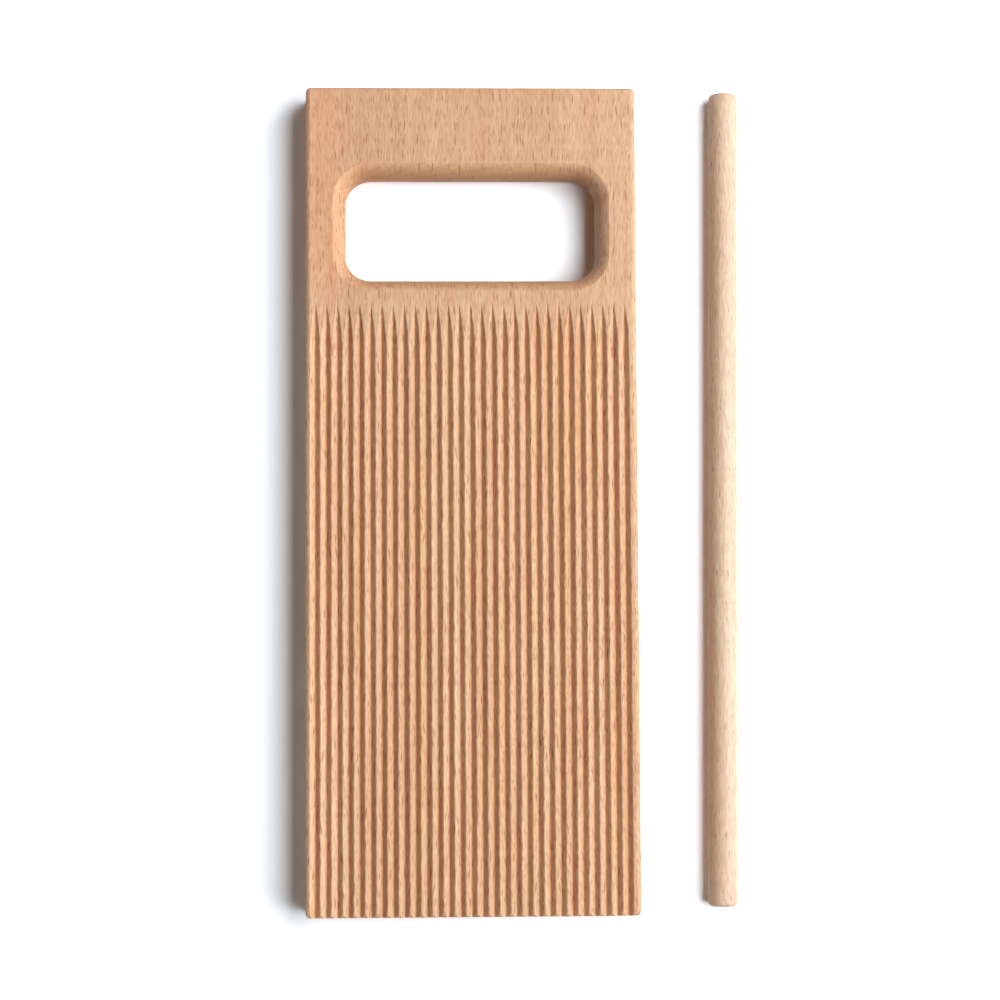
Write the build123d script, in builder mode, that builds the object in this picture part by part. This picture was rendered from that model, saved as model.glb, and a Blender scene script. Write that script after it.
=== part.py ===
from build123d import *
import math
import os

# A beech gnocchi board with its loose dowel.
# The board lies flat with its underside at z = 0, its long way along Y and the hand opening
# near the +Y end. The origin is the centre of the underside. All lengths are in millimetres.

# Board blank
board_width = 90.0
board_length = 225.0
board_thickness = 15.0
corner_radius = 1.4
edge_radius = 1.3

# Hand opening, measured at its narrowest, halfway through the board
opening_width = 68.6
opening_height = 28.4
opening_corner_radius = 7.0
opening_end_margin = 24.3

# Moulded rim of the opening, alike on both faces, with a land left between the two roundings
rim_radius = 6.5
rim_sink = 0.8
rim_land_least_share = 0.05

# V grooves with narrow crests between them, cut with discs that lift out below the opening
groove_pitch = 3.0
groove_mouth_width = 2.7
groove_root_width = 0.2
groove_depth = 1.4
groove_side_margin = 3.0
groove_left_shift = 0.4
groove_tip_gap = 6.9
cutter_radius = 60.0

# Dowel, lying on the table beside the board
dowel_diameter = 8.0
dowel_length = 224.0
dowel_end_radius = 1.2
dowel_gap = 20.3
dowel_lead = 1.0
dowel_turn_degrees = 0.62

# Every cut runs this far past the face that it leaves
overrun = 0.5

# Sizes and places worked out from the values above
blank_thickness = board_thickness + 2 * rim_sink
rim_fillet = min(rim_radius, blank_thickness * (1 - rim_land_least_share) / 2)
edge_fillet = min(edge_radius, corner_radius)
opening_y = board_length / 2 - opening_end_margin - opening_height / 2
groove_span = board_width - 2 * groove_side_margin
groove_count = round(groove_span / groove_pitch) + 1
groove_tip_y = opening_y - opening_height / 2 - groove_tip_gap
run_out_length = math.sqrt(groove_depth * (2 * cutter_radius - groove_depth))
groove_full_y = groove_tip_y - run_out_length
lift_out_degrees = math.degrees(math.acos(1 - (groove_depth + overrun) / cutter_radius))
dowel_radius = dowel_diameter / 2
dowel_x = board_width / 2 + dowel_gap + dowel_radius

os.makedirs("parts", exist_ok=True)


def groove_sections():
    """Draw the section of every groove side by side, open past the face by the overrun."""
    flank_run = (groove_mouth_width - groove_root_width) / 2
    root_half = groove_root_width / 2
    open_half = root_half + flank_run * (groove_depth + overrun) / groove_depth
    with Locations((-groove_left_shift, board_thickness)):
        with GridLocations(groove_pitch, 0, groove_count, 1):
            Polygon(
                (-root_half, -groove_depth),
                (root_half, -groove_depth),
                (open_half, overrun),
                (-open_half, overrun),
                align=None,
            )


# Board: one plank with a moulded hand opening and parallel grooves
with BuildPart() as grooved_board:
    # The rough blank stands proud of both faces by the depth that the rim cutter is sunk
    with BuildSketch(Plane.XY.offset(-rim_sink)):
        Rectangle(board_width, board_length)
    extrude(amount=blank_thickness)

    with BuildSketch(Plane.XY.offset(-rim_sink - overrun)):
        with Locations((0, opening_y)):
            RectangleRounded(opening_width, opening_height, opening_corner_radius)
    extrude(amount=blank_thickness + 2 * overrun, mode=Mode.SUBTRACT)

    blank_faces = grooved_board.faces().filter_by(Axis.Z)
    rim_edges = [edge for face in blank_faces for rim in face.inner_wires() for edge in rim.edges()]
    fillet(rim_edges, radius=rim_fillet)

    # Planed to thickness, the rims start with a shoulder, and the upright corners are eased
    with BuildSketch():
        RectangleRounded(board_width, board_length, corner_radius)
    extrude(amount=board_thickness, mode=Mode.INTERSECT)

    board_faces = grooved_board.faces().filter_by(Axis.Z)
    outline_edges = [edge for face in board_faces for edge in face.outer_wire().edges()]
    fillet(outline_edges, radius=edge_fillet)

    # Straight stretch of the grooves, out through the plain end
    with BuildSketch(Plane.XZ.offset(-groove_full_y)):
        groove_sections()
    extrude(amount=groove_full_y + board_length / 2 + overrun, mode=Mode.SUBTRACT)

    # Run-out, where the cutting disc rises and each groove narrows to a point
    with BuildSketch(Plane.XZ.offset(-groove_full_y)):
        groove_sections()
    disc_centre_z = board_thickness - groove_depth + cutter_radius
    disc_axis = Axis((0, groove_full_y, disc_centre_z), (1, 0, 0))
    revolve(axis=disc_axis, revolution_arc=lift_out_degrees, mode=Mode.SUBTRACT)

# Dowel: a straight round stick with tumbled ends, resting on the table
with BuildPart() as rolling_dowel:
    dowel_direction = Vector(0, 1, 0).rotate(Axis.Z, -dowel_turn_degrees)
    dowel_middle = (dowel_x, dowel_lead, dowel_radius)
    with BuildSketch(Plane(origin=dowel_middle, z_dir=dowel_direction)):
        Circle(dowel_radius)
    extrude(amount=dowel_length / 2, both=True)
    fillet(rolling_dowel.edges().filter_by(GeomType.CIRCLE), radius=dowel_end_radius)

grooved_board.part.label = "grooved_board"
export_step(grooved_board.part, "parts/grooved_board.step")

rolling_dowel.part.label = "rolling_dowel"
export_step(rolling_dowel.part, "parts/rolling_dowel.step")
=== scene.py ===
import bpy, math
from mathutils import Euler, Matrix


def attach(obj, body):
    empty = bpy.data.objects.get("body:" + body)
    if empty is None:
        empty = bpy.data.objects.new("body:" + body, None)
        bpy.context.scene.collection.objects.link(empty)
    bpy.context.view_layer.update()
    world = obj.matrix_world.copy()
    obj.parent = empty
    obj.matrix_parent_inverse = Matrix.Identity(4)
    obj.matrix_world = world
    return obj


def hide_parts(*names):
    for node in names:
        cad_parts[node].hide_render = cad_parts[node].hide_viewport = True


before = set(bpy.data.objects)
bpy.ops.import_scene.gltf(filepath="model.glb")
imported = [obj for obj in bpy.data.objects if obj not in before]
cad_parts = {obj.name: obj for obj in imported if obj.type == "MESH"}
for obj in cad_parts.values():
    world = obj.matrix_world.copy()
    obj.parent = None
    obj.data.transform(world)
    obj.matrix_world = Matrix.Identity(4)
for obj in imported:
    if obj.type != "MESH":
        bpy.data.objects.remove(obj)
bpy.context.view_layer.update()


# Table and daylight
# The board and its dowel lie on a plain white table, under a broad soft lamp at their right
# and the glow of a white room's walls. The camera hangs above them.

mm = 0.001
white = (1.0, 1.0, 1.0, 1.0)
wall_glow = 2.2
wall_top_height = 0.05
glow_end_height = 0.25
lamp_width = 0.85
lamp_length = 1.10
lamp_distance = 0.90
lamp_lean = math.radians(38.0)
lamp_y = 0.08
lamp_power = 14.3
table_half_width = 4.0
table_near = 0.22
table_far = 0.40
table_paint = (0.65, 0.65, 0.65, 1.0)
table_glare = (1.52, 1.62, 1.72, 1.0)
eye_lens = 90.0
eye_place = (-14.5 * mm, -46.5 * mm, 689.1 * mm)
eye_turn = Euler([math.radians(turn) for turn in (3.9, -1.85, -0.29)], "XYZ")


def node(tree, kind, feeds=None, **settings):
    """Add one node, set it up, and feed its inputs with values or with other nodes' sockets."""
    made = tree.nodes.new(kind)
    for name, value in settings.items():
        setattr(made, name, value)
    for name, value in (feeds or {}).items():
        if isinstance(value, bpy.types.NodeSocket):
            tree.links.new(value, made.inputs[name])
        else:
            made.inputs[name].default_value = value
    return made


def seen_directly(tree):
    """1 for what the eye sees, also by reflection or through glass, and 0 for light that lands."""
    rays = node(tree, "ShaderNodeLightPath")
    mirrored = node(tree, "ShaderNodeMath", {0: rays.outputs["Is Camera Ray"],
                                             1: rays.outputs["Is Glossy Ray"]}, operation="MAXIMUM")
    return node(tree, "ShaderNodeMath", {0: mirrored.outputs[0],
                                         1: rays.outputs["Is Transmission Ray"]},
                operation="MAXIMUM").outputs[0]


# The room glows low down, round its walls, and is seen plain white
room = bpy.data.worlds.new("room")
room.use_nodes = True
tree = room.node_tree
tree.nodes.clear()
height = node(tree, "ShaderNodeSeparateXYZ",
              {0: node(tree, "ShaderNodeTexCoord").outputs["Generated"]}).outputs[2]
walls = node(tree, "ShaderNodeMapRange",
             {"Value": height, "From Min": wall_top_height, "From Max": glow_end_height,
              "To Min": wall_glow, "To Max": 0.0}, interpolation_type="SMOOTHSTEP")
strength = node(tree, "ShaderNodeMapRange", {"Value": seen_directly(tree), "To Max": 1.0,
                                             "To Min": walls.outputs["Result"]})
glow = node(tree, "ShaderNodeBackground",
            {"Color": white, "Strength": strength.outputs["Result"]})
node(tree, "ShaderNodeOutputWorld", {"Surface": glow.outputs[0]})
bpy.context.scene.world = room
bpy.context.scene.view_settings.view_transform = "Standard"

lamp_light = bpy.data.lights.new("soft_lamp", "AREA")
lamp_light.shape = "RECTANGLE"
lamp_light.size = lamp_width
lamp_light.size_y = lamp_length
lamp_light.energy = lamp_power
lamp = bpy.data.objects.new("soft_lamp", lamp_light)
lamp.location = (lamp_distance * math.sin(lamp_lean), lamp_y,
                 lamp_distance * math.cos(lamp_lean))
lamp.rotation_euler = (0.0, lamp_lean, 0.0)
bpy.context.scene.collection.objects.link(lamp)

table_mesh = bpy.data.meshes.new("table")
table_mesh.from_pydata([(x * table_half_width, y * table_half_width, 0.0)
                        for x, y in ((-1, -1), (1, -1), (1, 1), (-1, 1))], [], [(0, 1, 2, 3)])
table = bpy.data.objects.new("table", table_mesh)
bpy.context.scene.collection.objects.link(table)
table_white = bpy.data.materials.new("table_white")
table_white.use_nodes = True
tree = table_white.node_tree
tree.nodes.clear()
seen = seen_directly(tree)
plain_paint = node(tree, "ShaderNodeBsdfDiffuse", {"Color": table_paint})
bright_paint = node(tree, "ShaderNodeBsdfDiffuse", {"Color": table_glare})
painted = node(tree, "ShaderNodeMixShader",
               {"Fac": seen, 1: plain_paint.outputs[0], 2: bright_paint.outputs[0]})

# Far from the board the table is seen plain white, out to the horizon
spread = node(tree, "ShaderNodeVectorMath",
              {0: node(tree, "ShaderNodeTexCoord").outputs["Object"]}, operation="LENGTH")
far = node(tree, "ShaderNodeMapRange",
           {"Value": spread.outputs["Value"], "From Min": table_near, "From Max": table_far,
            "To Min": 0.0, "To Max": seen}, interpolation_type="SMOOTHSTEP")
horizon = node(tree, "ShaderNodeEmission", {"Color": white})
whole_table = node(tree, "ShaderNodeMixShader",
                   {"Fac": far.outputs["Result"], 1: painted.outputs[0], 2: horizon.outputs[0]})
node(tree, "ShaderNodeOutputMaterial", {"Surface": whole_table.outputs[0]})
table_mesh.materials.append(table_white)

eye = bpy.data.cameras.new("eye")
eye.lens = eye_lens
camera = bpy.data.objects.new("eye", eye)
camera.location = eye_place
camera.rotation_euler = eye_turn
bpy.context.scene.collection.objects.link(camera)
bpy.context.scene.camera = camera


# Grooved board
# One beech plank, 15 mm thick, with its outline rounded over, a hand opening moulded on both
# faces, and 29 V grooves that a gang of cutting discs leaves below the opening, out to the end.

board_width = 90.0 * mm
board_length = 225.0 * mm
board_thickness = 15.0 * mm
corner_radius = 1.4 * mm
edge_radius = 1.3 * mm
opening_width = 68.6 * mm
opening_height = 28.4 * mm
opening_corner_radius = 7.0 * mm
opening_y = 74.0 * mm
rim_radius = 6.5 * mm
rim_sink = 0.8 * mm
groove_count = 29
groove_pitch = 3.0 * mm
groove_mouth_width = 2.7 * mm
groove_root_width = 0.2 * mm
groove_depth = 1.4 * mm
groove_left_shift = 0.4 * mm
groove_tip_y = 52.9 * mm
cutter_radius = 60.0 * mm
arris_radius = 0.12 * mm
arris_chatter = 0.13 * mm
chatter_length = 2.2 * mm
tear_limit = 0.14 * mm
root_tear_share = 0.25
groove_step = 0.8 * mm
overrun = 0.5 * mm
outline_clearance = 0.004 * mm
weld_distance = 0.001 * mm
rim_sweep = math.radians(75.0)
crease_angle = math.radians(45.0)

# The figure of the wood
streak_size = (7.0 * mm, 150.0 * mm, 9.0 * mm)
narrow_size = (1.5 * mm, 45.0 * mm, 3.0 * mm)
bend_size = (30.0 * mm, 120.0 * mm, 30.0 * mm)
ring_bend = 6.0 * mm
ring_width = 2.3 * mm
pith_x = 14.0 * mm
pith_depth = 62.0 * mm
fine_size = (0.27 * mm, 2.8 * mm, 0.3 * mm)
coarse_size = (0.5 * mm, 4.2 * mm, 0.6 * mm)
raised_grain = 0.04 * mm
speck_share = 0.6
speck_fade = 0.85
side_fade = 0.45
blush_size = (2.2 * mm, 16.0 * mm, 6.0 * mm)
slant_cell = (1.1 * mm, 2.4 * mm, 3.0 * mm)
slant_half = (0.16 * mm, 0.8 * mm, 1.4 * mm)

# Tints that darken or lighten parts of the plank
rosy_tint = (0.95, 0.76, 0.64, 1.0)
pale_tint = (1.10, 1.09, 1.10, 1.0)
# The next three tints paint shade into the grooves: at their bottoms, and on the flanks that face
# left, away from the lamp
root_shade_tint = (0.93, 0.84, 0.74, 1.0)
left_flank_shade_tint = (0.87, 0.79, 0.67, 1.0)
shade_blush_tint = (1.0, 0.88, 0.97, 1.0)


def sizes(tree, **named):
    """Give a geometry tree its named inputs and its outcome, and return the inputs' sockets."""
    for name, value in named.items():
        kind = "NodeSocketInt" if isinstance(value, int) else "NodeSocketFloat"
        tree.interface.new_socket(name.replace("_", " "), in_out="INPUT",
                                  socket_type=kind).default_value = value
    tree.interface.new_socket("Shape", in_out="OUTPUT", socket_type="NodeSocketGeometry")
    given = node(tree, "NodeGroupInput")
    return {name: given.outputs[name.replace("_", " ")] for name in named}


def maths(tree, operation, *values):
    """One arithmetic node; returns its socket."""
    return node(tree, "ShaderNodeMath", dict(enumerate(values)), operation=operation).outputs[0]


def point(tree, x, y, z):
    """Join three numbers into a place; returns its socket."""
    return node(tree, "ShaderNodeCombineXYZ", {"X": x, "Y": y, "Z": z}).outputs[0]


def rounded_block_tree():
    """A block with round corners whose top and bottom edges follow an arc, drawn in or flared out."""
    tree = bpy.data.node_groups.new("rounded_block", "GeometryNodeTree")
    g = sizes(tree, Width=board_width, Length=board_length, Corner_radius=corner_radius,
              Arc_radius=edge_radius, Arc_height=board_thickness / 2 - edge_radius,
              Arc_sweep=1.5708, Flare=-1.0, Corner_points=8, Arc_steps=6, Side_steps=1)

    def m(operation, *values):
        return maths(tree, operation, *values)

    around = m("MULTIPLY", g["Corner_points"], 4.0)
    rows = m("ADD", m("MULTIPLY", g["Arc_steps"], 2.0), g["Side_steps"])
    drum = node(tree, "GeometryNodeMeshCylinder",
                {"Vertices": around, "Side Segments": rows, "Radius": 1.0, "Depth": 1.0},
                fill_type="NGON")
    height = node(tree, "ShaderNodeSeparateXYZ",
                  {0: node(tree, "GeometryNodeInputPosition").outputs[0]}).outputs["Z"]
    row = m("ROUND", m("MULTIPLY", m("ADD", height, 0.5), rows))

    # Where each point stands on the outline: which corner, and how far round it
    number = m("MODULO", node(tree, "GeometryNodeInputIndex").outputs[0], around)
    corner = m("FLOOR", m("DIVIDE", m("ADD", number, 0.5), g["Corner_points"]))
    within = m("DIVIDE", m("SUBTRACT", number, m("MULTIPLY", corner, g["Corner_points"])),
               m("SUBTRACT", g["Corner_points"], 1.0))
    angle = m("MULTIPLY", m("ADD", corner, within), math.pi / 2)
    diagonal = m("MULTIPLY", m("ADD", corner, 0.5), math.pi / 2)
    side_x = m("SIGN", m("COSINE", diagonal))
    side_y = m("SIGN", m("SINE", diagonal))

    # How far each row has gone round the lower arc, up the side and round the upper arc
    low = m("MAXIMUM", m("DIVIDE", m("SUBTRACT", g["Arc_steps"], row), g["Arc_steps"]), 0.0)
    up = m("SUBTRACT", row, g["Arc_steps"])
    high = m("MAXIMUM", m("DIVIDE", m("SUBTRACT", up, g["Side_steps"]), g["Arc_steps"]), 0.0)
    side = m("MINIMUM", m("MAXIMUM", m("DIVIDE", up, g["Side_steps"]), 0.0), 1.0)
    low_turn = m("MULTIPLY", low, g["Arc_sweep"])
    high_turn = m("MULTIPLY", high, g["Arc_sweep"])
    rise = m("SUBTRACT", m("SINE", high_turn), m("SINE", low_turn))
    spread = m("SUBTRACT", m("SUBTRACT", 2.0, m("COSINE", high_turn)), m("COSINE", low_turn))
    reach = m("ADD", g["Corner_radius"],
              m("MULTIPLY", m("MULTIPLY", spread, g["Arc_radius"]), g["Flare"]))
    level = m("ADD", m("MULTIPLY", m("SUBTRACT", m("MULTIPLY", side, 2.0), 1.0), g["Arc_height"]),
              m("MULTIPLY", rise, g["Arc_radius"]))

    def along(size, sign, swing):
        centre = m("MULTIPLY", m("SUBTRACT", m("MULTIPLY", size, 0.5), g["Corner_radius"]), sign)
        return m("ADD", centre, m("MULTIPLY", reach, swing))

    place = point(tree, along(g["Width"], side_x, m("COSINE", angle)),
                  along(g["Length"], side_y, m("SINE", angle)), level)
    shaped = node(tree, "GeometryNodeSetPosition",
                  {"Geometry": drum.outputs["Mesh"], "Position": place})
    joined = node(tree, "GeometryNodeMergeByDistance",
                  {"Geometry": shaped.outputs[0], "Distance": weld_distance})
    node(tree, "NodeGroupOutput", {"Shape": joined.outputs[0]})
    return tree


rounded_block = rounded_block_tree()


def groove_cutters_tree():
    """The path of a gang of cutting discs, along the face and up out of the wood."""
    tree = bpy.data.node_groups.new("groove_cutters", "GeometryNodeTree")
    g = sizes(tree, Grooves=groove_count, Pitch=groove_pitch, Mouth_width=groove_mouth_width,
              Root_width=groove_root_width, Depth=groove_depth, Left_shift=groove_left_shift,
              Face_height=board_thickness, Start_y=-board_length / 2, Tip_y=groove_tip_y,
              Disc_radius=cutter_radius, Arris_radius=arris_radius, Overrun=overrun,
              Step=groove_step, Chatter=arris_chatter, Chatter_length=chatter_length, Seed=4.0)

    def m(operation, *values):
        return maths(tree, operation, *values)

    # The discs' path: straight along the board, then round their own axle and up
    number = node(tree, "GeometryNodeInputIndex").outputs[0]
    reach = m("MULTIPLY", g["Depth"], m("SUBTRACT", m("MULTIPLY", g["Disc_radius"], 2.0),
                                        g["Depth"]))
    full_y = m("SUBTRACT", g["Tip_y"], m("SQRT", reach))
    run = m("SUBTRACT", full_y, g["Start_y"])
    lift = m("ARCCOSINE", m("SUBTRACT", 1.0, m("DIVIDE", m("ADD", g["Depth"], g["Overrun"]),
                                               g["Disc_radius"])))
    steps = m("CEIL", m("DIVIDE", m("ADD", run, m("MULTIPLY", lift, g["Disc_radius"])), g["Step"]))
    travel = m("MULTIPLY", number, g["Step"])
    past = m("DIVIDE", m("MAXIMUM", m("SUBTRACT", travel, run), 0.0), g["Disc_radius"])
    path_y = m("ADD", m("ADD", g["Start_y"], m("MINIMUM", travel, run)),
               m("MULTIPLY", m("SINE", past), g["Disc_radius"]))
    path_z = m("ADD", m("SUBTRACT", g["Face_height"], g["Depth"]),
               m("MULTIPLY", m("SUBTRACT", 1.0, m("COSINE", past)), g["Disc_radius"]))
    stations = node(tree, "GeometryNodeMeshLine", {"Count": m("ADD", steps, 1.0)})
    path = node(tree, "GeometryNodeMeshToCurve", {"Mesh": node(
        tree, "GeometryNodeSetPosition",
        {"Geometry": stations.outputs[0], "Position": point(tree, 0.0, path_y, path_z)}
    ).outputs[0]})
    upright = node(tree, "GeometryNodeSetCurveNormal", {"Curve": path.outputs[0]}, mode="Z_UP")

    # The gang's outline hangs from the path: four corners for each disc, from right to left
    root = m("MULTIPLY", g["Root_width"], 0.5)
    mouth = m("MULTIPLY", g["Mouth_width"], 0.5)
    clear = m("MULTIPLY", m("ADD", g["Depth"], outline_clearance), -1.0)
    top = m("MULTIPLY", m("ADD", g["Depth"], g["Overrun"]), -1.0)
    half_span = m("MULTIPLY", m("MULTIPLY", m("SUBTRACT", g["Grooves"], 1.0), g["Pitch"]), 0.5)
    right_x = m("SUBTRACT", half_span, g["Left_shift"])
    left_x = m("SUBTRACT", m("MULTIPLY", half_span, -1.0), g["Left_shift"])
    wing_right = m("ADD", right_x, g["Pitch"])
    wing_left = m("SUBTRACT", left_x, g["Pitch"])
    disc = m("FLOOR", m("DIVIDE", m("ADD", number, 0.5), 4.0))
    disc_x = m("SUBTRACT", right_x, m("MULTIPLY", disc, g["Pitch"]))
    tooth_points = m("MULTIPLY", g["Grooves"], 4.0)

    def one_of(index, corners):
        chosen = node(tree, "GeometryNodeIndexSwitch", {"Index": index}, data_type="VECTOR")
        for _ in corners[2:]:
            chosen.index_switch_items.new()
        for slot_number, (x, y) in enumerate(corners):
            tree.links.new(point(tree, x, y, 0.0), chosen.inputs[slot_number + 1])
        return chosen.outputs[0]

    tooth = one_of(m("SUBTRACT", number, m("MULTIPLY", disc, 4.0)),
                   [(m("ADD", disc_x, mouth), clear), (m("ADD", disc_x, root), 0.0),
                    (m("SUBTRACT", disc_x, root), 0.0), (m("SUBTRACT", disc_x, mouth), clear)])
    back = one_of(m("MAXIMUM", m("SUBTRACT", number, tooth_points), 0.0),
                  [(wing_left, clear), (wing_left, top), (wing_right, top), (wing_right, clear)])
    corner = node(tree, "GeometryNodeSwitch",
                  {"Switch": m("GREATER_THAN", number, m("SUBTRACT", tooth_points, 0.5)),
                   "False": tooth, "True": back}, input_type="VECTOR")
    ring = node(tree, "GeometryNodeMeshCircle", {"Vertices": m("ADD", tooth_points, 4.0)})
    outline = node(tree, "GeometryNodeMeshToCurve", {"Mesh": node(
        tree, "GeometryNodeSetPosition",
        {"Geometry": ring.outputs[0], "Position": corner.outputs[0]}).outputs[0]})
    eased = node(tree, "GeometryNodeFilletCurve",
                 {"Curve": outline.outputs[0], "Count": 2, "Radius": g["Arris_radius"],
                  "Limit Radius": True}, mode="POLY")
    cutter = node(tree, "GeometryNodeCurveToMesh",
                  {"Curve": upright.outputs[0], "Profile Curve": eased.outputs[0],
                   "Fill Caps": True})

    # Torn fibres: the arrises wander from side to side, the roots far less
    here = node(tree, "GeometryNodeInputPosition").outputs[0]
    height = m("DIVIDE", m("SUBTRACT", node(tree, "ShaderNodeSeparateXYZ", {0: here}).outputs[2],
                           m("SUBTRACT", g["Face_height"], g["Depth"])), g["Depth"])
    share = node(tree, "ShaderNodeMapRange",
                 {"Value": height, "To Min": root_tear_share, "To Max": 1.0})
    tear = node(tree, "ShaderNodeTexNoise",
                {"Vector": here, "W": g["Seed"], "Scale": m("DIVIDE", 1.0, g["Chatter_length"]),
                 "Detail": 1.0, "Roughness": 0.5}, noise_dimensions="4D")
    sway = m("MULTIPLY", m("MULTIPLY", m("SUBTRACT", tear.outputs[0], 0.5), 4.0),
             m("MULTIPLY", share.outputs["Result"], g["Chatter"]))
    held = m("MINIMUM", m("MAXIMUM", sway, -tear_limit), tear_limit)
    torn = node(tree, "GeometryNodeSetPosition",
                {"Geometry": cutter.outputs[0], "Offset": point(tree, held, 0.0, 0.0)})
    node(tree, "NodeGroupOutput", {"Shape": torn.outputs[0]})
    return tree


def board_tree(wood):
    """The rounded blank, less the moulded opening, less the grooves."""
    tree = bpy.data.node_groups.new("grooved_board", "GeometryNodeTree")
    g = sizes(tree, Width=board_width, Length=board_length, Thickness=board_thickness,
              Corner_radius=corner_radius, Edge_radius=edge_radius,
              Opening_width=opening_width, Opening_height=opening_height,
              Opening_corner_radius=opening_corner_radius, Opening_y=opening_y,
              Rim_radius=rim_radius, Rim_sink=rim_sink)

    def m(operation, *values):
        return maths(tree, operation, *values)

    middle = m("MULTIPLY", g["Thickness"], 0.5)
    blank = node(tree, "GeometryNodeGroup", node_tree=rounded_block)
    for name, value in {"Width": g["Width"], "Length": g["Length"],
                        "Corner radius": g["Corner_radius"], "Arc radius": g["Edge_radius"],
                        "Arc height": m("SUBTRACT", middle, g["Edge_radius"])}.items():
        tree.links.new(value, blank.inputs[name])
    hole = node(tree, "GeometryNodeGroup", node_tree=rounded_block)
    for name, value in {"Width": g["Opening_width"], "Length": g["Opening_height"],
                        "Corner radius": g["Opening_corner_radius"], "Arc radius": g["Rim_radius"],
                        "Arc height": m("SUBTRACT", m("ADD", middle, g["Rim_sink"]),
                                        g["Rim_radius"])}.items():
        tree.links.new(value, hole.inputs[name])
    for name, value in {"Arc sweep": rim_sweep, "Flare": 1.0, "Corner points": 24,
                        "Arc steps": 16}.items():
        hole.inputs[name].default_value = value
    grooves = node(tree, "GeometryNodeGroup", node_tree=groove_cutters_tree())
    start = m("MULTIPLY", m("ADD", g["Length"], 2 * overrun), -0.5)
    tree.links.new(start, grooves.inputs["Start y"])
    tree.links.new(g["Thickness"], grooves.inputs["Face height"])

    raised = node(tree, "GeometryNodeTransform",
                  {"Geometry": blank.outputs[0], "Translation": point(tree, 0.0, 0.0, middle)})
    placed = node(tree, "GeometryNodeTransform",
                  {"Geometry": hole.outputs[0],
                   "Translation": point(tree, 0.0, g["Opening_y"], middle)})
    cut = node(tree, "GeometryNodeMeshBoolean",
               {"Mesh 1": raised.outputs[0], "Mesh 2": placed.outputs[0]},
               operation="DIFFERENCE", solver="MANIFOLD")
    tree.links.new(grooves.outputs[0], cut.inputs["Mesh 2"])

    # The planed faces are flat and every rounding is smooth
    facing = node(tree, "ShaderNodeVectorMath",
                  {0: node(tree, "GeometryNodeInputNormal").outputs[0]}, operation="ABSOLUTE")
    parts = node(tree, "ShaderNodeSeparateXYZ", {0: facing.outputs[0]})
    most = m("MAXIMUM", m("MAXIMUM", parts.outputs[0], parts.outputs[1]), parts.outputs[2])
    rounded = m("LESS_THAN", most, 0.99999)
    smooth = node(tree, "GeometryNodeSetShadeSmooth",
                  {"Geometry": cut.outputs["Mesh"], "Shade Smooth": rounded}, domain="FACE")
    turn = node(tree, "GeometryNodeInputMeshEdgeAngle").outputs["Unsigned Angle"]
    creased = node(tree, "GeometryNodeSetShadeSmooth",
                   {"Geometry": smooth.outputs[0],
                    "Shade Smooth": m("LESS_THAN", turn, crease_angle)}, domain="EDGE")
    whole = node(tree, "GeometryNodeRealizeInstances", {"Geometry": creased.outputs[0]})
    finished = node(tree, "GeometryNodeSetMaterial",
                    {"Geometry": whole.outputs[0], "Material": wood})
    node(tree, "NodeGroupOutput", {"Shape": finished.outputs[0]})
    return tree


def plain_mesh(name, tree, wood):
    """Run a geometry tree once and keep what it makes as a plain mesh at the origin."""
    rough = bpy.data.objects.new(name + "_rough", bpy.data.meshes.new(name + "_rough"))
    bpy.context.scene.collection.objects.link(rough)
    rough.modifiers.new(name, "NODES").node_group = tree
    bpy.context.view_layer.update()
    ready = rough.evaluated_get(bpy.context.evaluated_depsgraph_get())
    mesh = bpy.data.meshes.new_from_object(ready)
    mesh.name = name
    mesh.materials.clear()
    mesh.materials.append(wood)
    bpy.data.objects.remove(rough)
    piece = bpy.data.objects.new(name, mesh)
    bpy.context.scene.collection.objects.link(piece)
    return piece


def shade(red, green, blue):
    """A colour as it looks on a screen, 0 to 255, as the light values that a material takes."""
    return tuple(((c / 255 + 0.055) / 1.055) ** 2.4 for c in (red, green, blue)) + (1.0,)


plank_fleck = shade(158, 101, 66)


def stretched(tree, place, size, shift=0.0):
    """The place measured in steps of the given size along each axis."""
    spaced = node(tree, "ShaderNodeVectorMath",
                  {0: place, 1: tuple(1 / length for length in size),
                   2: (shift, 1.7 * shift, 0.6 * shift)}, operation="MULTIPLY_ADD")
    return spaced.outputs[0]


def grain(tree, place, size, shift=0.0, detail=2.0):
    """Soft random tone, 0 to 1, in patches of about the given size."""
    return node(tree, "ShaderNodeTexNoise",
                {"Vector": stretched(tree, place, size, shift), "Scale": 1.0, "Detail": detail,
                 "Roughness": 0.55}).outputs[0]


def between(tree, value, low, high, to_low=0.0, to_high=1.0, ease="SMOOTHSTEP"):
    """Carry a value from one range into another, held at both ends."""
    return node(tree, "ShaderNodeMapRange",
                {"Value": value, "From Min": low, "From Max": high, "To Min": to_low,
                 "To Max": to_high}, interpolation_type=ease).outputs["Result"]


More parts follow.
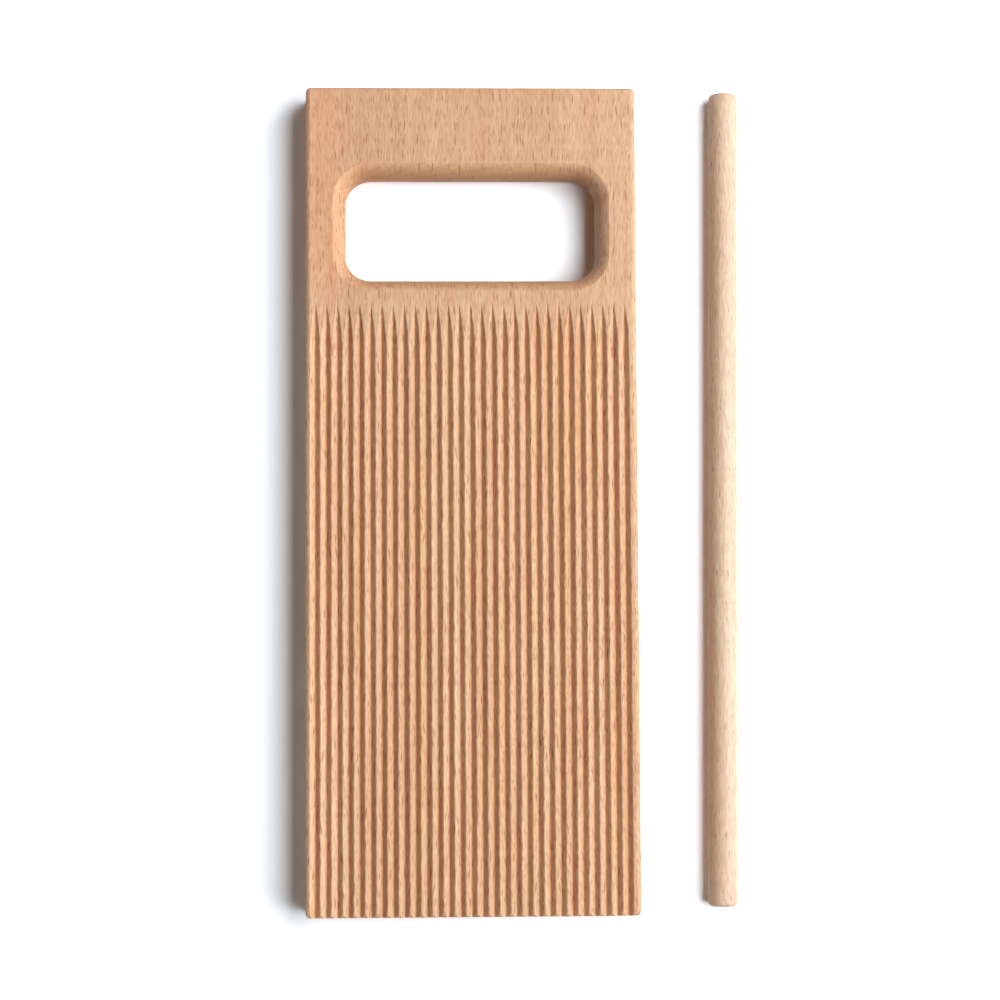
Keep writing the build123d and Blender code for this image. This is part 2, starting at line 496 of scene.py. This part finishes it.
def ray_flecks(tree, place, cell, half, shift, lean=0.4):
    """Beech's short dark rays: one slim spindle in each cell, of uneven size, some leaning."""
    spaced = stretched(tree, place, cell, shift)
    cells = node(tree, "ShaderNodeTexVoronoi", {"Vector": spaced, "Scale": 1.0})
    away = node(tree, "ShaderNodeVectorMath", {0: spaced, 1: cells.outputs["Position"]},
                operation="SUBTRACT")
    off = node(tree, "ShaderNodeSeparateXYZ", {0: away.outputs[0]})
    luck = node(tree, "ShaderNodeSeparateColor", {0: cells.outputs["Color"]})
    slip = maths(tree, "MULTIPLY", off.outputs[1],
                 between(tree, luck.outputs[0], 0.0, 1.0, -lean, lean, "LINEAR"))
    across = maths(tree, "MULTIPLY", maths(tree, "ADD", off.outputs[0], slip), cell[0] / half[0])
    spindle = point(tree, across, maths(tree, "MULTIPLY", off.outputs[1], cell[1] / half[1]),
                    maths(tree, "MULTIPLY", off.outputs[2], cell[2] / half[2]))
    far = node(tree, "ShaderNodeVectorMath", {0: spindle}, operation="LENGTH").outputs["Value"]
    size = between(tree, luck.outputs[1], 0.15, 1.0, 0.15, 1.4, "LINEAR")
    return between(tree, maths(tree, "DIVIDE", far, size), 1.0, 0.5)


def mixed(tree, share, first, second, blend="MIX"):
    """One colour laid over another, or tinted with it, by a share from 0 to 1."""
    made = node(tree, "ShaderNodeMix", data_type="RGBA", blend_type=blend)
    for number, value in ((0, share), (6, first), (7, second)):
        if isinstance(value, bpy.types.NodeSocket):
            tree.links.new(value, made.inputs[number])
        else:
            made.inputs[number].default_value = value
    return made.outputs[2]


def beech(name, pale, warm, rosy, fleck, end, fleck_cell, fleck_half, fleck_strength, roughness,
          own_tones=None):
    """Bare beech, its grain along Y: tone streaks, growth rings, fibres, rays and end grain."""
    wood = bpy.data.materials.new(name)
    wood.use_nodes = True
    tree = wood.node_tree
    tree.nodes.clear()
    place = node(tree, "ShaderNodeTexCoord").outputs["Object"]
    spot = node(tree, "ShaderNodeSeparateXYZ", {0: place}).outputs

    def m(operation, *values):
        return maths(tree, operation, *values)

    # Broad streaks from pale to warm, and rosier ones
    streak = grain(tree, place, streak_size, 3.1)
    narrow = grain(tree, place, narrow_size, 8.4)
    colour = mixed(tree, between(tree, streak, 0.35, 0.65), pale, warm)
    colour = mixed(tree, between(tree, narrow, 0.47, 0.68, 0.0, 0.42), colour, rosy)

    # Growth rings, wide apart on the face and close together at the ends
    bend = m("MULTIPLY", grain(tree, place, bend_size, 5.0), ring_bend)
    pith = point(tree, m("SUBTRACT", spot[0], pith_x), 0.0, m("ADD", spot[2], pith_depth))
    age = m("ADD", bend, node(tree, "ShaderNodeVectorMath", {0: pith},
                              operation="LENGTH").outputs["Value"])
    late = between(tree, m("FRACT", m("DIVIDE", age, ring_width)), 0.55, 1.0)

    # Fibres, and the rays in two sizes, fainter on the upright sides
    fine = grain(tree, place, fine_size, 1.3, 0.0)
    coarse = grain(tree, place, coarse_size, 4.7, 1.0)
    fibre = m("MULTIPLY_ADD", fine, 0.45, m("MULTIPLY", coarse, 0.55))
    rays = ray_flecks(tree, place, fleck_cell, fleck_half, 2.2)
    specks = ray_flecks(tree, place, tuple(speck_share * c for c in fleck_cell),
                        tuple(speck_share * h for h in fleck_half), 6.6)
    marks = m("MINIMUM", m("ADD", m("MULTIPLY", rays, fleck_strength),
                           m("MULTIPLY", specks, speck_fade * fleck_strength)), 1.0)
    facing = node(tree, "ShaderNodeSeparateXYZ",
                  {0: node(tree, "ShaderNodeNewGeometry").outputs["Normal"]}).outputs
    across = between(tree, m("ABSOLUTE", facing[1]), 0.35, 0.95)
    marks = m("MULTIPLY", marks, between(tree, m("ABSOLUTE", facing[0]), 0.85, 1.0, 1.0, side_fade))
    depth = m("ADD", between(tree, fibre, 0.34, 0.64, 0.0, 0.31),
              m("MULTIPLY", late, m("ADD", 0.05, m("MULTIPLY", across, 0.3))))
    colour = mixed(tree, depth, colour, fleck)
    colour = mixed(tree, m("MULTIPLY", across, 0.75), colour, end)
    colour = mixed(tree, marks, colour, fleck)
    if own_tones:
        colour = own_tones(tree, place, spot, facing, colour)

    # Dry, open wood: matt, a little glossier on the rays, with a faint raised grain
    dull = m("ADD", between(tree, fibre, 0.3, 0.7, roughness - 0.05, roughness + 0.05),
             m("SUBTRACT", m("MULTIPLY", across, 0.1), m("MULTIPLY", marks, 0.08)))
    raised = m("SUBTRACT", fibre, m("MULTIPLY", marks, 0.8))
    bump = node(tree, "ShaderNodeBump", {"Strength": 0.35, "Distance": raised_grain,
                                         "Height": raised})
    body = node(tree, "ShaderNodeBsdfPrincipled",
                {"Base Color": colour, "Roughness": dull, "Specular IOR Level": 0.3,
                 "Normal": bump.outputs[0]})
    node(tree, "ShaderNodeOutputMaterial", {"Surface": body.outputs[0]})
    return wood


def plank_tones(tree, place, spot, facing, colour):
    """The plank's own broad tones, the shade painted into its grooves, and its slanting rays."""

    def m(operation, *values):
        return maths(tree, operation, *values)

    # The plank is rosier round the hand opening, most of all at its left
    rosier = m("MULTIPLY", between(tree, spot[1], 42.0 * mm, 66.0 * mm),
               between(tree, spot[0], -46.0 * mm, -8.0 * mm, 0.5, 0.2))
    colour = mixed(tree, rosier, colour, rosy_tint, "MULTIPLY")

    # A paler band runs up it just inside its left edge
    paler = m("MULTIPLY", between(tree, spot[0], -33.0 * mm, -38.0 * mm),
              between(tree, spot[0], -44.6 * mm, -43.2 * mm))
    colour = mixed(tree, paler, colour, pale_tint, "MULTIPLY")

    # Painted shade in the grooves: the bottom of each groove is painted a little darker and browner,
    # and the flank that faces left, away from the lamp, darker and redder than the other one
    deep = m("SUBTRACT", board_thickness, spot[2])
    in_grooves = between(tree, deep, 2.0 * mm, 1.6 * mm)
    for value, low, high in ((spot[1], groove_tip_y + mm, groove_tip_y),
                             (spot[1], 0.1 * mm - board_length / 2, 0.4 * mm - board_length / 2),
                             (m("ABSOLUTE", spot[0]), 44.3 * mm, 43.9 * mm)):
        in_grooves = m("MULTIPLY", in_grooves, between(tree, value, low, high))
    # Painted shade at the bottom of each groove
    painted_root_shade = m("MULTIPLY", in_grooves, between(tree, deep, 1.15 * mm, 1.4 * mm))
    # Painted shade on the flanks that face left, away from the lamp: this mask darkens and reddens
    # them
    rough = m("MULTIPLY", in_grooves, m("MULTIPLY", between(tree, deep, 0.05 * mm, 0.45 * mm),
                                        between(tree, facing[0], -0.35, -0.65)))
    # The painted shade on those flanks turns more purple in patches
    patches = grain(tree, place, blush_size, 11.3)
    shade_blush = m("MULTIPLY", rough, between(tree, patches, 0.42, 0.6))
    colour = mixed(tree, painted_root_shade, colour, root_shade_tint, "MULTIPLY")
    colour = mixed(tree, rough, colour, left_flank_shade_tint, "MULTIPLY")
    colour = mixed(tree, shade_blush, colour, shade_blush_tint, "MULTIPLY")

    # Short slanting rays, thick at the lower right
    slanted = point(tree, m("MULTIPLY_ADD", spot[1], 0.35, spot[0]), spot[1], spot[2])
    slant_rays = ray_flecks(tree, slanted, slant_cell, slant_half, 9.3, lean=0.1)
    for value, low, high in ((spot[0], -20.0 * mm, 20.0 * mm), (spot[1], 20.0 * mm, -40.0 * mm)):
        slant_rays = m("MULTIPLY", slant_rays, between(tree, value, low, high))
    return mixed(tree, m("MULTIPLY", slant_rays, 0.6), colour, plank_fleck)


board_beech = beech(
    "board_beech", pale=shade(225, 188, 153), warm=shade(219, 178, 140),
    rosy=shade(214, 161, 124), fleck=plank_fleck, end=shade(194, 147, 111),
    fleck_cell=(1.3 * mm, 3.9 * mm, 4.4 * mm), fleck_half=(0.19 * mm, 1.6 * mm, 2.1 * mm),
    fleck_strength=0.7, roughness=0.6, own_tones=plank_tones)
board = plain_mesh("board", board_tree(board_beech), board_beech)
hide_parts("grooved_board")
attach(board, "board")


# Rolling dowel
# A loose round stick of paler beech, sawn a little shorter than the board and tumbled, so that
# its ends are softly rounded. It lies beside the board, turned a touch against it.

dowel_diameter = 8.0 * mm
dowel_length = 224.0 * mm
dowel_end_radius = 1.2 * mm
dowel_x = 69.3 * mm
dowel_lead = 1.0 * mm
dowel_turn = math.radians(0.62)
dowel_unevenness = 0.05 * mm
unevenness_rate = (260.0, 260.0, 60.0)
worn_tip_start_share = 0.485
dowel_crease_angle = 0.8


def dowel_tree(wood):
    """A round rounded block, laid along Y, its surface a little uneven from tumbling."""
    tree = bpy.data.node_groups.new("rolling_dowel", "GeometryNodeTree")
    g = sizes(tree, Diameter=dowel_diameter, Length=dowel_length, End_radius=dowel_end_radius,
              Place_x=dowel_x, Lead=dowel_lead, Turn=dowel_turn, Unevenness=dowel_unevenness, Seed=2.0)

    def m(operation, *values):
        return maths(tree, operation, *values)

    radius = m("MULTIPLY", g["Diameter"], 0.5)
    stick = node(tree, "GeometryNodeGroup", node_tree=rounded_block)
    for name, value in {"Width": g["Diameter"], "Length": g["Diameter"], "Corner radius": radius,
                        "Arc radius": g["End_radius"],
                        "Arc height": m("SUBTRACT", m("MULTIPLY", g["Length"], 0.5),
                                        g["End_radius"])}.items():
        tree.links.new(value, stick.inputs[name])
    for name, value in {"Corner points": 20, "Arc steps": 8, "Side steps": 120}.items():
        stick.inputs[name].default_value = value

    # The radius loses a little here and there, more so at the ends
    here = node(tree, "GeometryNodeInputPosition").outputs[0]
    parts = node(tree, "ShaderNodeSeparateXYZ", {0: here}).outputs
    tip = node(tree, "ShaderNodeMapRange",
               {"Value": m("ABSOLUTE", parts[2]),
                "From Min": m("MULTIPLY", g["Length"], worn_tip_start_share),
                "From Max": m("MULTIPLY", g["Length"], 0.5), "To Min": 1.0, "To Max": 2.0})
    wander = node(tree, "ShaderNodeTexNoise",
                  {"Vector": node(tree, "ShaderNodeVectorMath",
                                  {0: here, 1: unevenness_rate},
                                  operation="MULTIPLY").outputs[0],
                   "W": g["Seed"], "Scale": 1.0, "Detail": 2.0}, noise_dimensions="4D")
    lost = m("MULTIPLY", m("MULTIPLY", wander.outputs[0], g["Unevenness"]), tip.outputs[0])
    keep = m("SUBTRACT", 1.0, m("DIVIDE", lost, radius))
    worn = node(tree, "GeometryNodeSetPosition",
                {"Geometry": stick.outputs[0],
                 "Position": point(tree, m("MULTIPLY", parts[0], keep),
                                   m("MULTIPLY", parts[1], keep), parts[2])})
    laid = node(tree, "GeometryNodeTransform",
                {"Geometry": worn.outputs[0], "Rotation": point(tree, math.pi / 2, 0.0, 0.0)})
    turned = node(tree, "GeometryNodeTransform",
                  {"Geometry": laid.outputs[0],
                   "Translation": point(tree, g["Place_x"], g["Lead"], radius),
                   "Rotation": point(tree, 0.0, 0.0, m("MULTIPLY", g["Turn"], -1.0))})
    turn = node(tree, "GeometryNodeInputMeshEdgeAngle").outputs["Unsigned Angle"]
    smooth = node(tree, "GeometryNodeSetShadeSmooth",
                  {"Geometry": turned.outputs[0],
                   "Shade Smooth": m("LESS_THAN", turn, dowel_crease_angle)},
                  domain="EDGE")
    whole = node(tree, "GeometryNodeRealizeInstances", {"Geometry": smooth.outputs[0]})
    finished = node(tree, "GeometryNodeSetMaterial",
                    {"Geometry": whole.outputs[0], "Material": wood})
    node(tree, "NodeGroupOutput", {"Shape": finished.outputs[0]})
    return tree


dowel_beech = beech(
    "dowel_beech", pale=shade(230, 205, 179), warm=shade(225, 196, 168),
    rosy=shade(222, 189, 159), fleck=shade(160, 117, 84), end=shade(194, 158, 126),
    fleck_cell=(1.6 * mm, 4.2 * mm, 5.0 * mm), fleck_half=(0.17 * mm, 0.95 * mm, 2.0 * mm),
    fleck_strength=0.6, roughness=0.62)
dowel = plain_mesh("dowel", dowel_tree(dowel_beech), dowel_beech)
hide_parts("rolling_dowel")
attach(dowel, "dowel")
